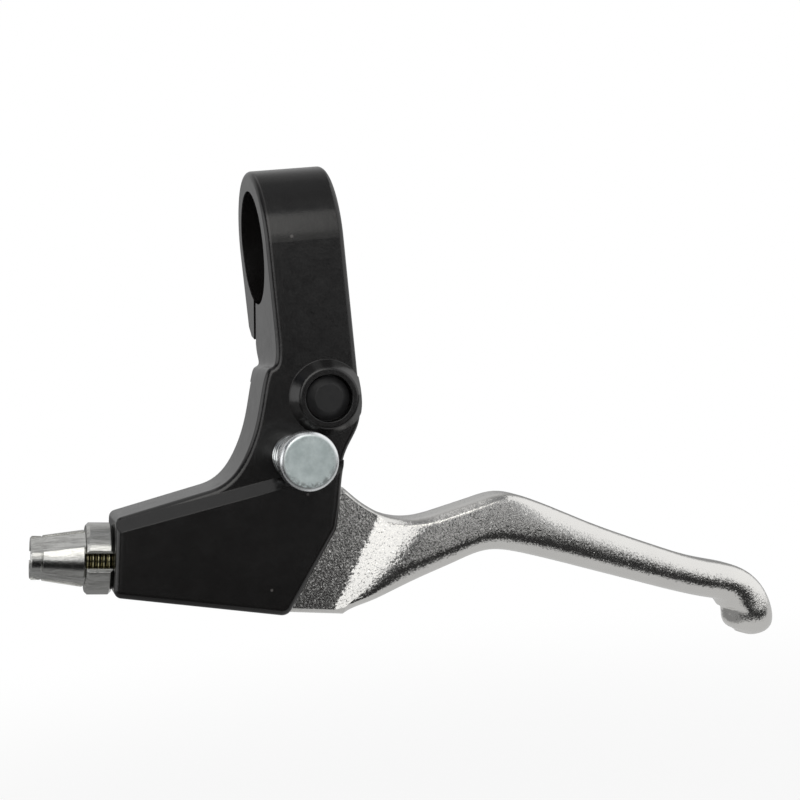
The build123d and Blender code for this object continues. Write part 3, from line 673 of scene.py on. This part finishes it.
def pale_floor():
    """Floor's material."""
    material = bpy.data.materials.new("pale_floor")
    n = Nodes(material)
    place = n.add("ShaderNodeTexCoord").outputs["Object"]
    spot = n.add("ShaderNodeSeparateXYZ")
    n.feed(spot.inputs[0], place)
    across = spot.outputs["X"]
    away = spot.outputs["Y"]
    slanted = n.math("ADD", across, n.math("MULTIPLY", away, CARD_SLANT))
    ahead = n.math("MAXIMUM", n.math("MULTIPLY", away, -1.0), LEAST_AHEAD)
    sideways = n.math("DIVIDE", across, ahead)
    lit = n.brightest((across, away, slanted, sideways), FLOOR_CARDS)

    path = n.add("ShaderNodeLightPath").outputs
    mirrored = n.math("MAXIMUM", path["Is Glossy Ray"], path["Is Transmission Ray"])
    far = n.vector("LENGTH", place, result="Value")
    white = n.stretch(far, WHITE_NEAR, WHITE_FAR, WHITE_SHARE, 1.0, smooth=True)
    white = n.math("MULTIPLY", white, path["Is Camera Ray"])
    glow = n.add("ShaderNodeEmission")
    n.feed(glow.inputs["Strength"], n.math("MAXIMUM", lit, path["Is Camera Ray"]))
    diffuse = n.add("ShaderNodeBsdfDiffuse")
    n.feed(diffuse.inputs["Color"], FLOOR_COLOUR)
    blend = n.add("ShaderNodeMixShader")
    n.feed(blend.inputs[0], n.math("MAXIMUM", white, mirrored))
    n.feed(blend.inputs[1], diffuse.outputs[0])
    n.feed(blend.inputs[2], glow.outputs[0])
    n.feed(n.add("ShaderNodeOutputMaterial").inputs["Surface"], blend.outputs[0])
    return material


floor_mesh = bpy.data.meshes.new("floor")
corners = ((-1, -1), (1, -1), (1, 1), (-1, 1))
floor_mesh.from_pydata([(x * FLOOR_HALF, y * FLOOR_HALF, FLOOR_Z) for x, y in corners], [], [(0, 1, 2, 3)])
floor_mesh.materials.append(pale_floor())
floor = bpy.data.objects.new("floor", floor_mesh)
scene.collection.objects.link(floor)


# Camera at the photograph's angle

AZIMUTH = math.radians(-15.1)
ELEVATION = math.radians(3.6)
ROLL = math.radians(5.65)
CAMERA_AT = (-64.7 * MM, -311.1 * MM, -12.7 * MM)
SENSOR_WIDTH = 36.0
LENS = 72.0
CLIP_START = 0.01

level_right = Vector((math.cos(AZIMUTH), math.sin(AZIMUTH), 0))
level_back = Vector((math.sin(AZIMUTH), -math.cos(AZIMUTH), 0))
back = math.cos(ELEVATION) * level_back + Vector((0, 0, math.sin(ELEVATION)))
level_up = back.cross(level_right)
right = math.cos(ROLL) * level_right - math.sin(ROLL) * level_up
up = math.sin(ROLL) * level_right + math.cos(ROLL) * level_up
camera_data = bpy.data.cameras.new("camera")
camera_data.sensor_width = SENSOR_WIDTH
camera_data.lens = LENS
camera_data.clip_start = CLIP_START
camera = bpy.data.objects.new("camera", camera_data)
camera.matrix_world = Matrix.Translation(CAMERA_AT) @ Matrix((right, up, back)).transposed().to_4x4()
scene.collection.objects.link(camera)
scene.camera = camera
